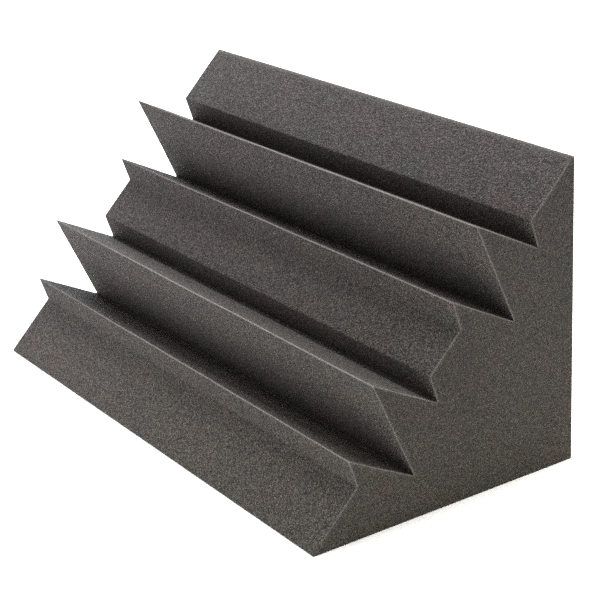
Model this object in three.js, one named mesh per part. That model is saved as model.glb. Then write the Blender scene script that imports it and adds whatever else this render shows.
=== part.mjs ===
// Corner bass trap: one block of open-cell polyurethane foam, wire-cut to a zig-zag front.
//
// Units are millimetres and +Z is up. The block lies on one of its two wall faces. Its other
// wall face stands upright at the back, at +Y, and the square edge between the two goes into
// the corner of a room. The length runs along X. The origin is on the floor, under the
// middle of the block.
//
// Two such blocks come out of one square bun of foam. The wire runs through the bun from edge
// to edge along the diagonal of the square, and swings to either side of it in two equal
// waves. Every fin of one block leaves a groove in the other, and half a turn about the middle
// of the diagonal lays the cut on itself, so the two blocks are alike.

import * as THREE from 'three';

// Block
const wallLeg = 304.8; // width of each wall face, from the square edge to the cut
const blockLength = 609.6; // along the corner of the room

// Waves of the cut: heights are square to the diagonal, and runs are along it
const tallFinHeight = 51.4; // tall fin, and as far below the diagonal the deep groove
const lowFinHeight = 25.7; // low fin, and as far below the diagonal the shallow groove
const lipRun = 13.6; // between a flat strip and the root or tip beside it
const steepFlankRun = 24.2; // between a shallow root and a tall tip, or a deep root and a low tip
const longFlankRun = 41; // between a tall tip and a deep root
const middleStripWidth = 51.2; // flat strip on the diagonal, between the two waves

// Rounds where the wire turns
const tipRadius = 0.8;
const rootRadius = 0.8;
const stripRadius = 5;

// Finish
const foamColour = 0x57534f;
const foamRoughness = 1;

// Each arc is drawn in twice this many steps
const arcHalfSteps = 2;

// A round takes at most this part of the shorter edge beside it
const roundEdgeShare = 0.45;

const diagonal = wallLeg * Math.SQRT2;
const waveRun = 2 * (lipRun + steepFlankRun) + longFlankRun;
const edgeStripWidth = (diagonal - middleStripWidth) / 2 - waveRun;

// A corner of the cut, given along the diagonal from its top end and outwards from it
function cutCorner(along, outward, radius) {
  const point = new THREE.Vector2(
    wallLeg / 2 - (along + outward) / Math.SQRT2,
    wallLeg - (along - outward) / Math.SQRT2,
  );
  return { point, radius };
}

// A sharp corner of the bun, given in the plane of the end face
function bunCorner(y, z) {
  return { point: new THREE.Vector2(y, z), radius: 0 };
}

// One wave of the cut: it drops off a flat strip into the shallow groove, climbs to the tall
// fin, drops into the deep groove, climbs to the low fin and drops onto the next flat strip
function wave(start) {
  const shallowRoot = start + lipRun;
  const tallTip = shallowRoot + steepFlankRun;
  const deepRoot = tallTip + longFlankRun;
  const lowTip = deepRoot + steepFlankRun;
  return [
    cutCorner(start, 0, stripRadius),
    cutCorner(shallowRoot, -lowFinHeight, rootRadius),
    cutCorner(tallTip, tallFinHeight, tipRadius),
    cutCorner(deepRoot, -tallFinHeight, rootRadius),
    cutCorner(lowTip, lowFinHeight, tipRadius),
    cutCorner(lowTip + lipRun, 0, stripRadius),
  ];
}

// The block's outline in the plane of its end face, counter-clockwise from the square edge
function blockCorners() {
  const firstWave = edgeStripWidth;
  const secondWave = firstWave + waveRun + middleStripWidth;
  return [
    bunCorner(wallLeg / 2, 0),
    bunCorner(wallLeg / 2, wallLeg),
    ...wave(firstWave),
    ...wave(secondWave),
    bunCorner(-wallLeg / 2, 0),
  ];
}

// Adds one corner to the path: a plain point, or an arc that touches both edges beside it
function addCorner(path, before, corner, after) {
  const toBefore = before.point.clone().sub(corner.point);
  const toAfter = after.point.clone().sub(corner.point);
  const shorterEdge = Math.min(toBefore.length(), toAfter.length());
  toBefore.normalize();
  toAfter.normalize();
  const halfAngle = Math.acos(toBefore.dot(toAfter)) / 2;
  const touch = Math.min(corner.radius / Math.tan(halfAngle), shorterEdge * roundEdgeShare);
  if (touch === 0) {
    path.lineTo(corner.point.x, corner.point.y);
    return;
  }
  const radius = touch * Math.tan(halfAngle);
  const centre = toBefore
    .clone()
    .add(toAfter)
    .setLength(radius / Math.sin(halfAngle))
    .add(corner.point);
  const first = corner.point.clone().addScaledVector(toBefore, touch).sub(centre);
  const last = corner.point.clone().addScaledVector(toAfter, touch).sub(centre);
  const turnsRight = toAfter.cross(toBefore) < 0;
  path.absarc(centre.x, centre.y, radius, first.angle(), last.angle(), turnsRight);
}

function blockOutline() {
  const corners = blockCorners();
  const shape = new THREE.Shape();
  shape.moveTo(corners[0].point.x, corners[0].point.y);
  for (let i = 1; i < corners.length; i += 1) {
    addCorner(shape, corners[i - 1], corners[i], corners[(i + 1) % corners.length]);
  }
  shape.closePath();
  return shape;
}

// The outline's plane holds Y and Z, so the extrusion along its normal becomes X
function foamBlock() {
  const geometry = new THREE.ExtrudeGeometry(blockOutline(), {
    depth: blockLength,
    bevelEnabled: false,
    curveSegments: arcHalfSteps,
  });
  const foam = new THREE.MeshStandardMaterial({
    name: 'open_cell_foam',
    color: foamColour,
    roughness: foamRoughness,
    metalness: 0,
  });
  const mesh = new THREE.Mesh(geometry, foam);
  mesh.name = 'foam_block';
  mesh.rotation.set(Math.PI / 2, Math.PI / 2, 0);
  mesh.position.x = -blockLength / 2;
  return mesh;
}

const bassTrap = new THREE.Group();
bassTrap.name = 'corner_bass_trap';
bassTrap.add(foamBlock());

export default bassTrap;
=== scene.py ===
import math

import bpy
import numpy as np
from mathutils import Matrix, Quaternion, Vector, geometry, noise


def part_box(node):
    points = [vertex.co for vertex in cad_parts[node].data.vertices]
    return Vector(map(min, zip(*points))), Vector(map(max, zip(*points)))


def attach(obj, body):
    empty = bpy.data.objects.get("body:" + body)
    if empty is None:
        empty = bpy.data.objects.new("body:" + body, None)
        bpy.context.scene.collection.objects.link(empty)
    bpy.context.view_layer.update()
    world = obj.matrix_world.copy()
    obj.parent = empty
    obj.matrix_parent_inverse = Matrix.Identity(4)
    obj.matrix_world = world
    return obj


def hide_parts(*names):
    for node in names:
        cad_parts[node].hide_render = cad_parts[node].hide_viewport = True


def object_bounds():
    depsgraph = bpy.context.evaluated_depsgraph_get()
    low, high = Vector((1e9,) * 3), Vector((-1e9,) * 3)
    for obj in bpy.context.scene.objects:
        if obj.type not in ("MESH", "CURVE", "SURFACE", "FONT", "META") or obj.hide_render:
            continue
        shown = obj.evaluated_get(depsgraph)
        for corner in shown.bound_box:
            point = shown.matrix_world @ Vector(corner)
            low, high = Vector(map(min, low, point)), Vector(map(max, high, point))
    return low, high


# Corner bass trap: the foam block's fine surface and finish, its light and its camera.
# Everything is in metres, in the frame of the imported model: X along the block, +Y towards
# the upright wall face, +Z up. MM turns sizes in millimetres to metres.

MM = 0.001

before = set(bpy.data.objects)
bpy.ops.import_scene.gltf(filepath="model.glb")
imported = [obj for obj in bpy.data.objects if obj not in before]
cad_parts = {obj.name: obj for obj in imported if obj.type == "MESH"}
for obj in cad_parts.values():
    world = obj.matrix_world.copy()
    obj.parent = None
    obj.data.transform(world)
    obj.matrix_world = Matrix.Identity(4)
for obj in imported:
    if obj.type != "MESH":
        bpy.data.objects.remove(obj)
cad_low, cad_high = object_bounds()
BLOCK_NODE = "foam_block"

# The fine mesh
FACE_STEP = 4.0 * MM  # between points across the cut face
WALL_STEP = 9.0 * MM  # across the two plain wall faces
LENGTH_STEP = 3.4 * MM  # along the block
END_STEP = 4.2 * MM  # across the end faces
EDGE_ROWS = (0.5 * MM, 1.1 * MM, 2.0 * MM)  # extra rows beside every edge
SHORT_EDGE = 2.5 * EDGE_ROWS[-1]  # edges of the outline that are shorter aren't divided
RIM_RADIUS = 0.5 * MM  # round between the end faces and the rest
RIM_STEPS = 3
RIM_FIT_SHARE = 0.3  # the rim's largest radius, as a share of the largest ball that fits there
LAST_RING_SHARE = 2.8  # how far in the next ring on the end face lies, in radii of the rim
BUN_RADIUS = 1.0 * MM  # round on the corners that the saw left
BUN_STEPS = 4
SHARP_TURN = math.radians(60)  # corners that turn by more are the saw's
ROUND_TURN = SHARP_TURN / 3  # points inside the rounds of tips, roots and saw's corners turn by more
ROUND_EDGE = 3 * MM  # edges shorter than this belong to a round
CREASE_SHARE = 0.35  # the rounds beside the flat strips, as a share of the model's

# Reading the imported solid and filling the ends
END_NORMAL_SHARE = 0.99  # of an end face's normal lies along the block, at least
PLACES = 7  # decimals, in metres, to which points of the outline are told apart
WELD = 1e-7  # points of an end face that are closer are one
LEAST_INWARD = 1e-9  # points that lie less far inwards don't limit the rim's radius

# Unevenness of the soft block: how far points stray, and over what length. It fades out
# towards the two wall faces, which stay flat
SWELL = (0.45 * MM, 80 * MM)
RIPPLE = (0.12 * MM, 10 * MM)
FADE_DEPTH = 15 * MM
NOISE_SEED = 1  # without a seed, the noise would differ from one run to the next

# Pale fringe along the cut edges, where frayed ends of cells catch the light: a painted highlight,
# with a painted glow of light through the thin tips. Shares are of the fringe on a tall fin's tip
FRINGE_WIDTH = 1.3 * MM
RIM_FRINGE_SHARE = 0.6
RIM_CREST_SHARE = 0.4  # where the rim's fringe is strongest, as a share of the rim's radius
FRINGE_FADE = 30 * MM  # the fringe fades over this distance from the floor and the back
BACK_FADE = 12 * MM  # the part of it that is left at the back, where the fringe doesn't end
SAW_FRINGE_SHARE = 0.6  # on the saw's corner at the top of the block, a painted highlight where the light from behind catches it
SAW_FRINGE_WIDTH = 4 * MM
FRINGE_START = 500 * MM  # the tips' fringe is weaker towards the left-hand end, and grows by its full strength over this length from there
START_FRINGE_SHARE = 0.5
LOW_FIN_FRINGE_SHARE = 0.85  # the fringe on the low fins' tips is weaker than on the tall ones'
# colour of the fringe: a painted highlight on the frayed edges
FRAY_AND_HIGHLIGHT_COLOUR = "#908c87"

# Grain of the foam: black and pale are values of the cells and the struts added up
CELL_WIDTH = 0.8 * MM
CELL_POWER = 2.0  # a higher one leaves fewer pale cells
STRUT_WIDTH = 0.7 * MM
BLACK_GRAIN = 0.51
PALE_GRAIN = 1.6
PALE_GRAIN_GAIN = 3.4  # the dye's colour is multiplied by this at the pale value
PIT_WIDTH = 1.4 * MM
PIT_DEPTH = 1.2 * MM
# The ends are sawn: the foam counts as sawn from the first share of a normal that lies along
# the block, and wholly so at the second
SAWN_NORMAL_SHARES = (0.7, 0.95)
SAWN_EVEN_SHARE = 0.35  # how much of the grain the saw takes away

# Dye of the foam. It drifts from a redder to a greener grey in patches. The colour is also made a
# little bluer towards the top of the left-hand end, and warmer towards the foot of the right-hand
# one
PATCH_WIDTH = 30 * MM
REDDER_DYE = "#4c3f40"
GREENER_DYE = "#3c403f"
WARM_CAST = "#ffffe6"
PLAIN_CAST = "#ffffff"
BLUE_WAY = Vector((-0.311, 0, 0.95))  # the way in which the colour gets bluer

# Floor
FLOOR_COLOUR = "#fafafa"
FLOOR_ROUGHNESS = 0.9
FLOOR_HALF = 12.0
FLOOR_DROP = 0.1 * MM  # below the block, so that the two never lie in one plane

# Light: each soft box has its turn about the block and its rise over the floor in degrees,
# its power in watts and its colour
BLOCK_MIDDLE = Vector((0, 0, 150 * MM))  # the boxes face this point
BOX_DISTANCE = 2.4
BOX_SIDE = 0.9
SOFT_BOXES = (
    ("back_box", 168, 45, 55, "#fffdf0"),
    ("back_high_box", 168, 60, 24, "#ffffff"),
    ("top_box", 180, 80, 56, "#f7f8ff"),
    ("left_box", 252, 10, 48, "#edf5ff"),
    ("front_left_low_box", 312, 5, 66, "#ffffff"),
    ("front_left_high_box", 312, 65, 17, "#ffffff"),
)
ROOM_COLOUR = "#fffefa"
ROOM_STRENGTH = 0.4

# The view of the photograph
PHOTO_SIZE = 600  # pixels
FOCAL_PIXELS = 1706.2
SENSOR_WIDTH = 36  # in millimetres, as the camera takes it
CAMERA_PLACE = Vector((1402.7, -870.2, 748.2)) * MM
CAMERA_AIM = Vector((0, 48.1, 101.2)) * MM
CAMERA_ROLL = math.radians(-2.886)
NEAREST_SEEN = 0.05
FARTHEST_SEEN = 60

# A Mix node's sockets for colours have the same names as those for numbers, so they are
# given by their places
MIX_FIRST = 6
MIX_SECOND = 7
MIX_RESULT = 2


def linear(hex_colour):
    """An sRGB hex colour, such as "#57534f", as linear red, green, blue and alpha."""
    channels = [int(hex_colour[i : i + 2], 16) / 255 for i in (1, 3, 5)]
    curved = [c / 12.92 if c <= 0.04045 else ((c + 0.055) / 1.055) ** 2.4 for c in channels]
    return (*curved, 1.0)


def add_node(tree, kind, inputs=None, **settings):
    """Adds a node with its settings, and sets or links its inputs, named or numbered."""
    node = tree.nodes.new(kind)
    for name, value in settings.items():
        setattr(node, name, value)
    for name, value in (inputs or {}).items():
        socket = node.inputs[name]
        if isinstance(value, bpy.types.NodeSocket):
            tree.links.new(value, socket)
        else:
            socket.default_value = value
    return node


def end_outline(cad):
    """The outline of the block's +X end face, as an array of (y, z), counter-clockwise."""
    sides = set()
    for face in cad.data.polygons:
        if face.normal.x < END_NORMAL_SHARE:
            continue
        places = [cad.data.vertices[i].co.yz for i in face.vertices]
        corners = [tuple(round(c, PLACES) for c in place) for place in places]
        sides.update(zip(corners, corners[1:] + corners[:1]))
    after = {a: b for a, b in sides if (b, a) not in sides}
    start = min(after)
    outline = [start]
    while after[outline[-1]] != start:
        outline.append(after[outline[-1]])
    return np.array(outline)


def unit(vectors):
    """The vectors at a length of 1."""
    return vectors / np.linalg.norm(vectors, axis=-1, keepdims=True)


def corner_turns(outline):
    """The angle that the outline turns by at each point, positive where it is convex."""
    into = unit(outline - np.roll(outline, 1, axis=0))
    out = unit(np.roll(outline, -1, axis=0) - outline)
    cross = into[:, 0] * out[:, 1] - into[:, 1] * out[:, 0]
    return np.arctan2(cross, (into * out).sum(axis=1))


def creased(outline):
    """The outline with the rounds beside the flat strips drawn tighter."""
    count = len(outline)
    short = np.linalg.norm(np.roll(outline, -1, axis=0) - outline, axis=1) < ROUND_EDGE
    turns = corner_turns(outline)
    points = outline.copy()
    for first in np.flatnonzero(short & ~np.roll(short, 1)):
        last = first
        while short[last % count]:
            last += 1
        ids = np.arange(first, last + 1) % count
        if np.abs(turns[ids]).max() > ROUND_TURN:
            continue
        into = unit(outline[ids[0]] - outline[ids[0] - 1])
        out = unit(outline[(ids[-1] + 1) % count] - outline[ids[-1]])
        gap = outline[ids[-1]] - outline[ids[0]]
        reach = (gap[0] * out[1] - gap[1] * out[0]) / (into[0] * out[1] - into[1] * out[0])
        corner = outline[ids[0]] + into * reach
        points[ids] = corner + (outline[ids] - corner) * CREASE_SHARE
    return points


def rounded(outline):
    """The outline with a small arc on each sharp corner."""
    points = []
    for i, (corner, turn) in enumerate(zip(outline, corner_turns(outline))):
        if abs(turn) < SHARP_TURN:
            points.append(corner)
            continue
        to_before = unit(outline[i - 1] - corner)
        to_after = unit(outline[(i + 1) % len(outline)] - corner)
        inward = unit(to_before + to_after)
        centre = corner + inward * BUN_RADIUS / math.cos(turn / 2)
        for step in range(BUN_STEPS + 1):
            angle = turn * (step / BUN_STEPS - 0.5)
            arm = np.array(
                [
                    inward[1] * math.sin(angle) - inward[0] * math.cos(angle),
                    -inward[0] * math.sin(angle) - inward[1] * math.cos(angle),
                ]
            )
            points.append(centre + arm * BUN_RADIUS)
    return np.array(points)


def graded(length, step):
    """Places from 0 up to, but not including, length: close together at both ends."""
    if length < SHORT_EDGE:
        return [0.0]
    low, high = EDGE_ROWS[-1], length - EDGE_ROWS[-1]
    inner = np.linspace(low, high, max(2, math.ceil((high - low) / step) + 1))
    near = [0.0, *EDGE_ROWS[:-1]]
    far = [length - row for row in reversed(EDGE_ROWS[:-1])]
    return [*near, *inner, *far]


def resampled(outline):
    """The outline with its long edges divided, coarsely on the two wall faces."""
    low, high = outline.min(axis=0), outline.max(axis=0)
    points = []
    for here, there in zip(outline, np.roll(outline, -1, axis=0)):
        length = np.linalg.norm(there - here)
        on_back = min(here[0], there[0]) > high[0] - RIM_RADIUS
        on_floor = max(here[1], there[1]) < low[1] + RIM_RADIUS
        step = WALL_STEP if on_back or on_floor else FACE_STEP
        points += [here + (there - here) * place / length for place in graded(length, step)]
    return np.array(points)


def inward_moves(outline):
    """At each point, the move that shifts both edges beside it inwards by one unit."""
    along = unit(np.roll(outline, -1, axis=0) - outline)
    inward = np.stack([-along[:, 1], along[:, 0]], axis=1)
    before = np.roll(inward, 1, axis=0)
    return (before + inward) / (1 + (before * inward).sum(axis=1, keepdims=True))


def rim_radii(outline, moves):
    """The end rim's radius at each point: smaller where the outline's tips are thinner."""
    reach = outline[None] - outline[:, None]
    inward = (reach * unit(moves)[:, None]).sum(axis=2)
    ball = (reach**2).sum(axis=2) / (2 * np.maximum(inward, LEAST_INWARD))
    ball = np.where(inward > LEAST_INWARD, ball, np.inf)
    return np.minimum(RIM_RADIUS, RIM_FIT_SHARE * ball.min(axis=1))


def distance_to_line(points, line):
    """The distance from each point to the closed line through the given points."""
    best = np.full(len(points), np.inf)
    for here, there in zip(line, np.roll(line, -1, axis=0)):
        edge = there - here
        share = np.clip(((points - here) @ edge) / (edge @ edge), 0, 1)
        best = np.minimum(best, np.linalg.norm(points - here - share[:, None] * edge, axis=1))
    return best


def distance_to_marks(points, marks):
    """The distance from each point to the nearest of the marks."""
    return np.linalg.norm(points[:, None] - marks[None], axis=2).min(axis=1)


def inside(points, line):
    """Which points lie inside the closed line."""
    crossings = np.zeros(len(points), int)
    for (y0, z0), (y1, z1) in zip(line, np.roll(line, -1, axis=0)):
        if z0 == z1:
            continue
        spans = (points[:, 1] < z0) != (points[:, 1] < z1)
        crossings += spans & (points[:, 0] < y0 + (points[:, 1] - z0) * (y1 - y0) / (z1 - z0))
    return crossings % 2 == 1


def end_face(rim):
    """Inner points and triangles that fill an end face: the rim's points come first."""
    low, high = rim.min(axis=0), rim.max(axis=0)
    row_step = END_STEP * math.sqrt(3) / 2
    grid = np.array(
        [
            (y + END_STEP / 2 * (row % 2), z)
            for row, z in enumerate(np.arange(low[1], high[1], row_step))
            for y in np.arange(low[0], high[0], END_STEP)
        ]
    )
    grid = grid[inside(grid, rim)]
    grid = grid[distance_to_line(grid, rim) > END_STEP / 2]
    points = np.concatenate([rim, grid])
    edges = [(i, (i + 1) % len(rim)) for i in range(len(rim))]
    found = geometry.delaunay_2d_cdt([Vector(p) for p in points], edges, [], 0, WELD, True)
    first = np.array([ids[0] for ids in found[3]])
    triangles = first[np.array(found[2])]
    return grid, triangles[inside(points[triangles].mean(axis=1), rim)].tolist()


def strayed(points, back):
    """The points, moved a little by two waves of smooth noise, but not at the wall faces."""
    noise.seed_set(NOISE_SEED)
    moves = np.zeros_like(points)
    for size, length in (SWELL, RIPPLE):
        moves += size * np.array([noise.noise_vector(Vector(p) / length) for p in points])
    from_wall = np.minimum(points[:, 2], back - points[:, 1])
    return points + moves * np.clip(from_wall / FADE_DEPTH, 0, 1)[:, None]


def fray_and_highlight_amounts(points, outline, half_length):
    """How much of the pale fringe, a painted highlight along the frayed cut edges, each point
    carries: most on the fins' tips, none at the walls.
    """
    bent = corner_turns(outline) > ROUND_TURN
    crests = outline[bent & np.roll(bent, 1) & np.roll(bent, -1)]
    at_top = crests[:, 1] > outline[:, 1].max() - BUN_RADIUS
    at_floor = crests[:, 1] < BUN_RADIUS
    tips = crests[~at_top & ~at_floor]
    # Tall fins' tips lie further out from the cut's diagonal than low ones'
    reach = tips[:, 1] - tips[:, 0]
    low = reach < (reach.min() + reach.max()) / 2
    from_tall = distance_to_marks(points[:, 1:], tips[~low])
    from_low = distance_to_marks(points[:, 1:], tips[low])
    from_saw = distance_to_marks(points[:, 1:], crests[at_top])
    from_end = half_length - np.abs(points[:, 0])
    from_side = distance_to_line(points[:, 1:], outline)
    from_rim = np.hypot(from_end, from_side) - RIM_RADIUS * RIM_CREST_SHARE
    from_wall = np.minimum(points[:, 2], outline[:, 0].max() - points[:, 1] + BACK_FADE)

    tall_tip = np.clip(1 - from_tall / FRINGE_WIDTH, 0, 1)
    low_tip = np.clip(1 - from_low / FRINGE_WIDTH, 0, 1) * LOW_FIN_FRINGE_SHARE
    started = np.clip(START_FRINGE_SHARE + (points[:, 0] + half_length) / FRINGE_START, 0, 1)
    tip = np.maximum(tall_tip, low_tip) * started
    rim = np.clip(1 - from_rim / FRINGE_WIDTH, 0, 1) * RIM_FRINGE_SHARE
    cut = np.maximum(tip, rim) * np.clip(from_wall / FRINGE_FADE, 0, 1)
    return np.maximum(cut, np.clip(1 - from_saw / SAW_FRINGE_WIDTH, 0, 1) * SAW_FRINGE_SHARE)


def rim_rings(outline, half_length):
    """The rings of points that round the right-hand end over, and one further in on its face."""
    moves = inward_moves(outline)
    radii = rim_radii(outline, moves)
    rings = []
    for step in range(1, RIM_STEPS + 1):
        angle = math.pi / 2 * step / RIM_STEPS
        inset = radii * (1 - math.cos(angle))
        places = half_length - radii * (1 - math.sin(angle))
        rings.append(np.column_stack([places, outline + moves * inset[:, None]]))
    inset = radii * LAST_RING_SHARE
    places = np.full(len(outline), half_length)
    rings.append(np.column_stack([places, outline + moves * inset[:, None]]))
    return rings


def ring_faces(ring_count, count):
    """The quads between neighbouring rings of count points each."""
    faces = []
    for first in range(0, (ring_count - 1) * count, count):
        second = first + count
        for i in range(count):
            j = (i + 1) % count
            faces.append((first + i, first + j, second + j, second + i))
    return faces


def end_faces(triangles, ring_count, count, inner_count):
    """The triangles of both ends. Their rims are the first and the last ring, and the inner
    points of the left-hand end and then the right-hand one follow after all the rings."""
    last_ring = (ring_count - 1) * count
    left_inner = ring_count * count
    right_inner = left_inner + inner_count
    faces = []
    for corners in triangles:
        left = [i if i < count else left_inner + i - count for i in corners]
        right = [last_ring + i if i < count else right_inner + i - count for i in corners]
        faces += [tuple(reversed(left)), tuple(right)]
    return faces


def foam_mesh(outline, half_length):
    """The whole block as one closed mesh, with how much painted highlight of a frayed cut edge each
    point carries.
    """
    count = len(outline)
    straight = half_length - RIM_RADIUS
    places = [*graded(2 * straight, LENGTH_STEP), 2 * straight]
    right = rim_rings(outline, half_length)
    left = [ring * (-1, 1, 1) for ring in reversed(right)]
    middle = [np.column_stack([np.full(count, x - straight), outline]) for x in places]
    rings = left + middle + right
    grid, triangles = end_face(right[-1][:, 1:])
    inner = [np.column_stack([np.full(len(grid), x), grid]) for x in (-half_length, half_length)]
    points = np.concatenate([*rings, *inner])
    faces = ring_faces(len(rings), count) + end_faces(triangles, len(rings), count, len(grid))
    edge = fray_and_highlight_amounts(points, outline, half_length)
    return strayed(points, outline[:, 0].max()), faces, edge


def foam_block_piece(foam):
    """The wire-cut block as it looks: soft-rimmed, a little uneven and frayed at its edges, with a
    painted highlight along them.
    """
    low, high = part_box(BLOCK_NODE)
    outline = resampled(rounded(creased(end_outline(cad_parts[BLOCK_NODE]))))
    vertices, faces, edge = foam_mesh(outline, (high.x - low.x) / 2)
    mesh = bpy.data.meshes.new("wire_cut_foam")
    mesh.from_pydata(vertices.tolist(), [], faces)
    mesh.validate()
    mesh.shade_smooth()
    # Each point's share of the pale fringe: a painted highlight along the frayed cut edges
    fray_and_highlight_attribute = mesh.attributes.new("fray_and_highlight", "FLOAT", "POINT")
    fray_and_highlight_attribute.data.foreach_set("value", edge.astype(np.float32))
    mesh.materials.append(foam)
    piece = bpy.data.objects.new("wire_cut_foam", mesh)
    bpy.context.scene.collection.objects.link(piece)
    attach(piece, "root")
    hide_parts(BLOCK_NODE)


def cut_cells(tree, place):
    """How pale the foam's cells and struts are: the dye's colour is multiplied by this."""
    # Cut cells are about 0.8 mm wide: most are dark and open, and a few catch the light
    cells = add_node(
        tree,
        "ShaderNodeTexVoronoi",
        {"Vector": place, "Scale": 1 / CELL_WIDTH, "Randomness": 1.0},
        feature="F1",
    )
    cell_shade = add_node(tree, "ShaderNodeSeparateColor", {"Color": cells.outputs["Color"]})
    open_cells = add_node(
        tree,
        "ShaderNodeMath",
        {0: cell_shade.outputs["Red"], 1: CELL_POWER},
        operation="POWER",
    )
    # Struts between the cells are thinner than 0.1 mm: they are drawn in clumps of 0.7 mm,
    # as finer ones would be lost between the points of the picture
    struts = add_node(
        tree,
        "ShaderNodeTexNoise",
        {"Vector": place, "Scale": 1 / STRUT_WIDTH, "Detail": 1.0, "Roughness": 0.5},
    )
    grain = add_node(
        tree,
        "ShaderNodeMath",
        {0: open_cells.outputs["Value"], 1: struts.outputs["Fac"]},
        operation="ADD",
    )
    shade = add_node(
        tree,
        "ShaderNodeMapRange",
        {
            "Value": grain.outputs["Value"],
            "From Min": BLACK_GRAIN,
            "From Max": PALE_GRAIN,
            "To Min": 0.0,
            "To Max": PALE_GRAIN_GAIN,
        },
    )
    return shade.outputs["Result"]


def evened_on_ends(tree, shade, facing):
    """The grain, weaker on the end faces: a saw blade cut them, which shears the cells off
    more evenly than the wire."""
    across = add_node(tree, "ShaderNodeSeparateXYZ", {"Vector": facing})
    endwise = add_node(tree, "ShaderNodeMath", {0: across.outputs["X"]}, operation="ABSOLUTE")
    sawn = add_node(
        tree,
        "ShaderNodeMapRange",
        {
            "Value": endwise.outputs["Value"],
            "From Min": SAWN_NORMAL_SHARES[0],
            "From Max": SAWN_NORMAL_SHARES[1],
            "To Min": 0.0,
            "To Max": SAWN_EVEN_SHARE,
        },
    )
    even_shade = add_node(
        tree,
        "ShaderNodeMix",
        {"Factor": sawn.outputs["Result"], "A": shade, "B": 1.0},
        data_type="FLOAT",
    )
    return even_shade.outputs["Result"]


def drifting_colour(tree, place):
    """The colour: the dye drifts in patches, and the whole colour shifts slowly from corner to
    corner of the block.
    """
    drift = add_node(
        tree,
        "ShaderNodeTexNoise",
        {"Vector": place, "Scale": 1 / PATCH_WIDTH, "Detail": 1.0, "Roughness": 0.5},
    )
    body = add_node(
        tree,
        "ShaderNodeMix",
        {
            "Factor": drift.outputs["Fac"],
            MIX_FIRST: linear(REDDER_DYE),
            MIX_SECOND: linear(GREENER_DYE),
        },
        data_type="RGBA",
    )
    way = add_node(
        tree, "ShaderNodeVectorMath", {0: place, 1: BLUE_WAY}, operation="DOT_PRODUCT"
    )
    warm_corner = Vector((cad_high.x, 0, cad_low.z))
    blue_corner = Vector((cad_low.x, 0, cad_high.z))
    blueness = add_node(
        tree,
        "ShaderNodeMapRange",
        {
            "Value": way.outputs["Value"],
            "From Min": BLUE_WAY.dot(warm_corner),
            "From Max": BLUE_WAY.dot(blue_corner),
        },
    )
    cast = add_node(
        tree,
        "ShaderNodeMix",
        {
            "Factor": blueness.outputs["Result"],
            MIX_FIRST: linear(WARM_CAST),
            MIX_SECOND: linear(PLAIN_CAST),
        },
        data_type="RGBA",
    )
    tinted = add_node(
        tree,
        "ShaderNodeVectorMath",
        {0: body.outputs[MIX_RESULT], 1: cast.outputs[MIX_RESULT]},
        operation="MULTIPLY",
    )
    return tinted.outputs["Vector"]


def pitted_surface(tree, place):
    """The normals of a surface that the pits of the open cells roughen."""
    # The pits are drawn at 1.4 mm, wider than the cells, as finer ones wouldn't show
    pits = add_node(
        tree,
        "ShaderNodeTexVoronoi",
        {"Vector": place, "Scale": 1 / PIT_WIDTH, "Randomness": 1.0},
        feature="F1",
    )
    bump = add_node(
        tree,
        "ShaderNodeBump",
        {"Strength": 1.0, "Distance": PIT_DEPTH, "Height": pits.outputs["Distance"]},
    )
    return bump.outputs["Normal"]


def charcoal_foam():
    """Open-cell polyurethane foam, dyed charcoal and cut by a wire: a dead matt, dark grey surface
    of fine pits and speckles, with a pale fringe along its frayed cut edges that is a painted
    highlight, with a painted glow of light through the thin tips."""
    material = bpy.data.materials.new("wire_cut_charcoal_foam")
    material.use_nodes = True
    tree = material.node_tree
    tree.nodes.clear()
    coordinates = add_node(tree, "ShaderNodeTexCoord").outputs
    place = coordinates["Object"]
    shade = evened_on_ends(tree, cut_cells(tree, place), coordinates["Normal"])
    speckled = add_node(
        tree,
        "ShaderNodeVectorMath",
        {0: drifting_colour(tree, place), 1: shade},
        operation="MULTIPLY",
    )
    # Along the cut edges the colour is paler and greyer than the cells behind them: a painted
    # highlight on the frayed ends, with a painted glow of light through the thin tips
    fray_and_highlight_attribute = add_node(tree, "ShaderNodeAttribute", attribute_name="fray_and_highlight")
    fringe = add_node(
        tree,
        "ShaderNodeMix",
        {
            "Factor": fray_and_highlight_attribute.outputs["Fac"],
            MIX_FIRST: speckled.outputs["Vector"],
            MIX_SECOND: linear(FRAY_AND_HIGHLIGHT_COLOUR),
        },
        data_type="RGBA",
    )
    shader = add_node(
        tree,
        "ShaderNodeBsdfPrincipled",
        {
            "Base Color": fringe.outputs[MIX_RESULT],
            "Roughness": 1.0,
            "Diffuse Roughness": 1.0,
            "IOR": 1.5,
            "Specular IOR Level": 0.5,
            "Normal": pitted_surface(tree, place),
        },
    )
    add_node(tree, "ShaderNodeOutputMaterial", {"Surface": shader.outputs["BSDF"]})
    return material


def white_paper():
    """Uncoated white paper: plain and matt, so that the background stays even."""
    material = bpy.data.materials.new("white_paper_sweep")
    material.use_nodes = True
    shader = material.node_tree.nodes["Principled BSDF"]
    shader.inputs["Base Color"].default_value = linear(FLOOR_COLOUR)
    shader.inputs["Roughness"].default_value = FLOOR_ROUGHNESS
    return material


def studio_floor():
    """A plain white floor under the block."""
    sides = ((-1, -1), (1, -1), (1, 1), (-1, 1))
    corners = [(x * FLOOR_HALF, y * FLOOR_HALF, -FLOOR_DROP) for x, y in sides]
    mesh = bpy.data.meshes.new("floor")
    mesh.from_pydata(corners, [], [(0, 1, 2, 3)])
    mesh.materials.append(white_paper())
    floor = bpy.data.objects.new("floor", mesh)
    bpy.context.scene.collection.objects.link(floor)


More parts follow.
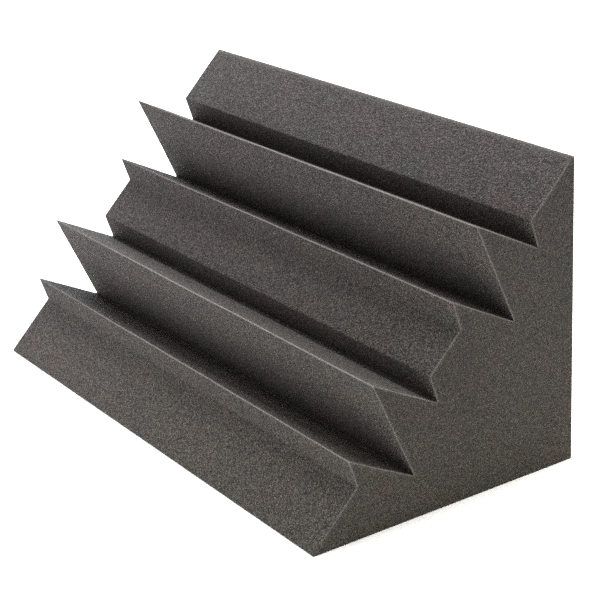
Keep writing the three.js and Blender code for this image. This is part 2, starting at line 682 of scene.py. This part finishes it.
def soft_box(name, turn, rise, power, colour):
    """A square soft box that faces the block, from a turn about it and a rise over the floor.
    A turn of 0 degrees stands in front of the block, and 90 at its right-hand end."""
    lamp = bpy.data.lights.new(name, "AREA")
    lamp.shape = "SQUARE"
    lamp.size = BOX_SIDE
    lamp.energy = power
    lamp.color = linear(colour)[:3]
    box = bpy.data.objects.new(name, lamp)
    turn, rise = math.radians(turn), math.radians(rise)
    away = Vector(
        (math.sin(turn) * math.cos(rise), -math.cos(turn) * math.cos(rise), math.sin(rise))
    )
    box.location = BLOCK_MIDDLE + away * BOX_DISTANCE
    box.location.z = max(box.location.z, BOX_SIDE / 2)
    box.rotation_euler = away.to_track_quat("Z", "Y").to_euler()
    box.visible_camera = False
    bpy.context.scene.collection.objects.link(box)


def studio_light():
    """A plain pale room and six soft boxes: three high up behind and over the block, one low
    at its left-hand end, and two in front of it, to the left."""
    world = bpy.data.worlds.new("pale_room")
    world.use_nodes = True
    room = world.node_tree.nodes["Background"]
    room.inputs["Color"].default_value = linear(ROOM_COLOUR)
    room.inputs["Strength"].default_value = ROOM_STRENGTH
    bpy.context.scene.world = world
    for box in SOFT_BOXES:
        soft_box(*box)


def photo_camera():
    """The photograph's long lens, looking down a little at the block's right-hand end."""
    lens = bpy.data.cameras.new("photo_camera")
    lens.sensor_width = SENSOR_WIDTH
    lens.lens = FOCAL_PIXELS * SENSOR_WIDTH / PHOTO_SIZE
    lens.clip_start = NEAREST_SEEN
    lens.clip_end = FARTHEST_SEEN
    camera = bpy.data.objects.new("photo_camera", lens)
    camera.location = CAMERA_PLACE
    level = (CAMERA_AIM - CAMERA_PLACE).to_track_quat("-Z", "Y")
    camera.rotation_mode = "QUATERNION"
    camera.rotation_quaternion = level @ Quaternion((0, 0, 1), CAMERA_ROLL)
    bpy.context.scene.collection.objects.link(camera)
    bpy.context.scene.camera = camera


photo_camera()
studio_floor()
studio_light()
foam_block_piece(charcoal_foam())
bpy.context.scene.view_settings.view_transform = "Standard"
# Denoising would wipe out the foam's fine grain
bpy.context.scene.cycles.use_denoising = False
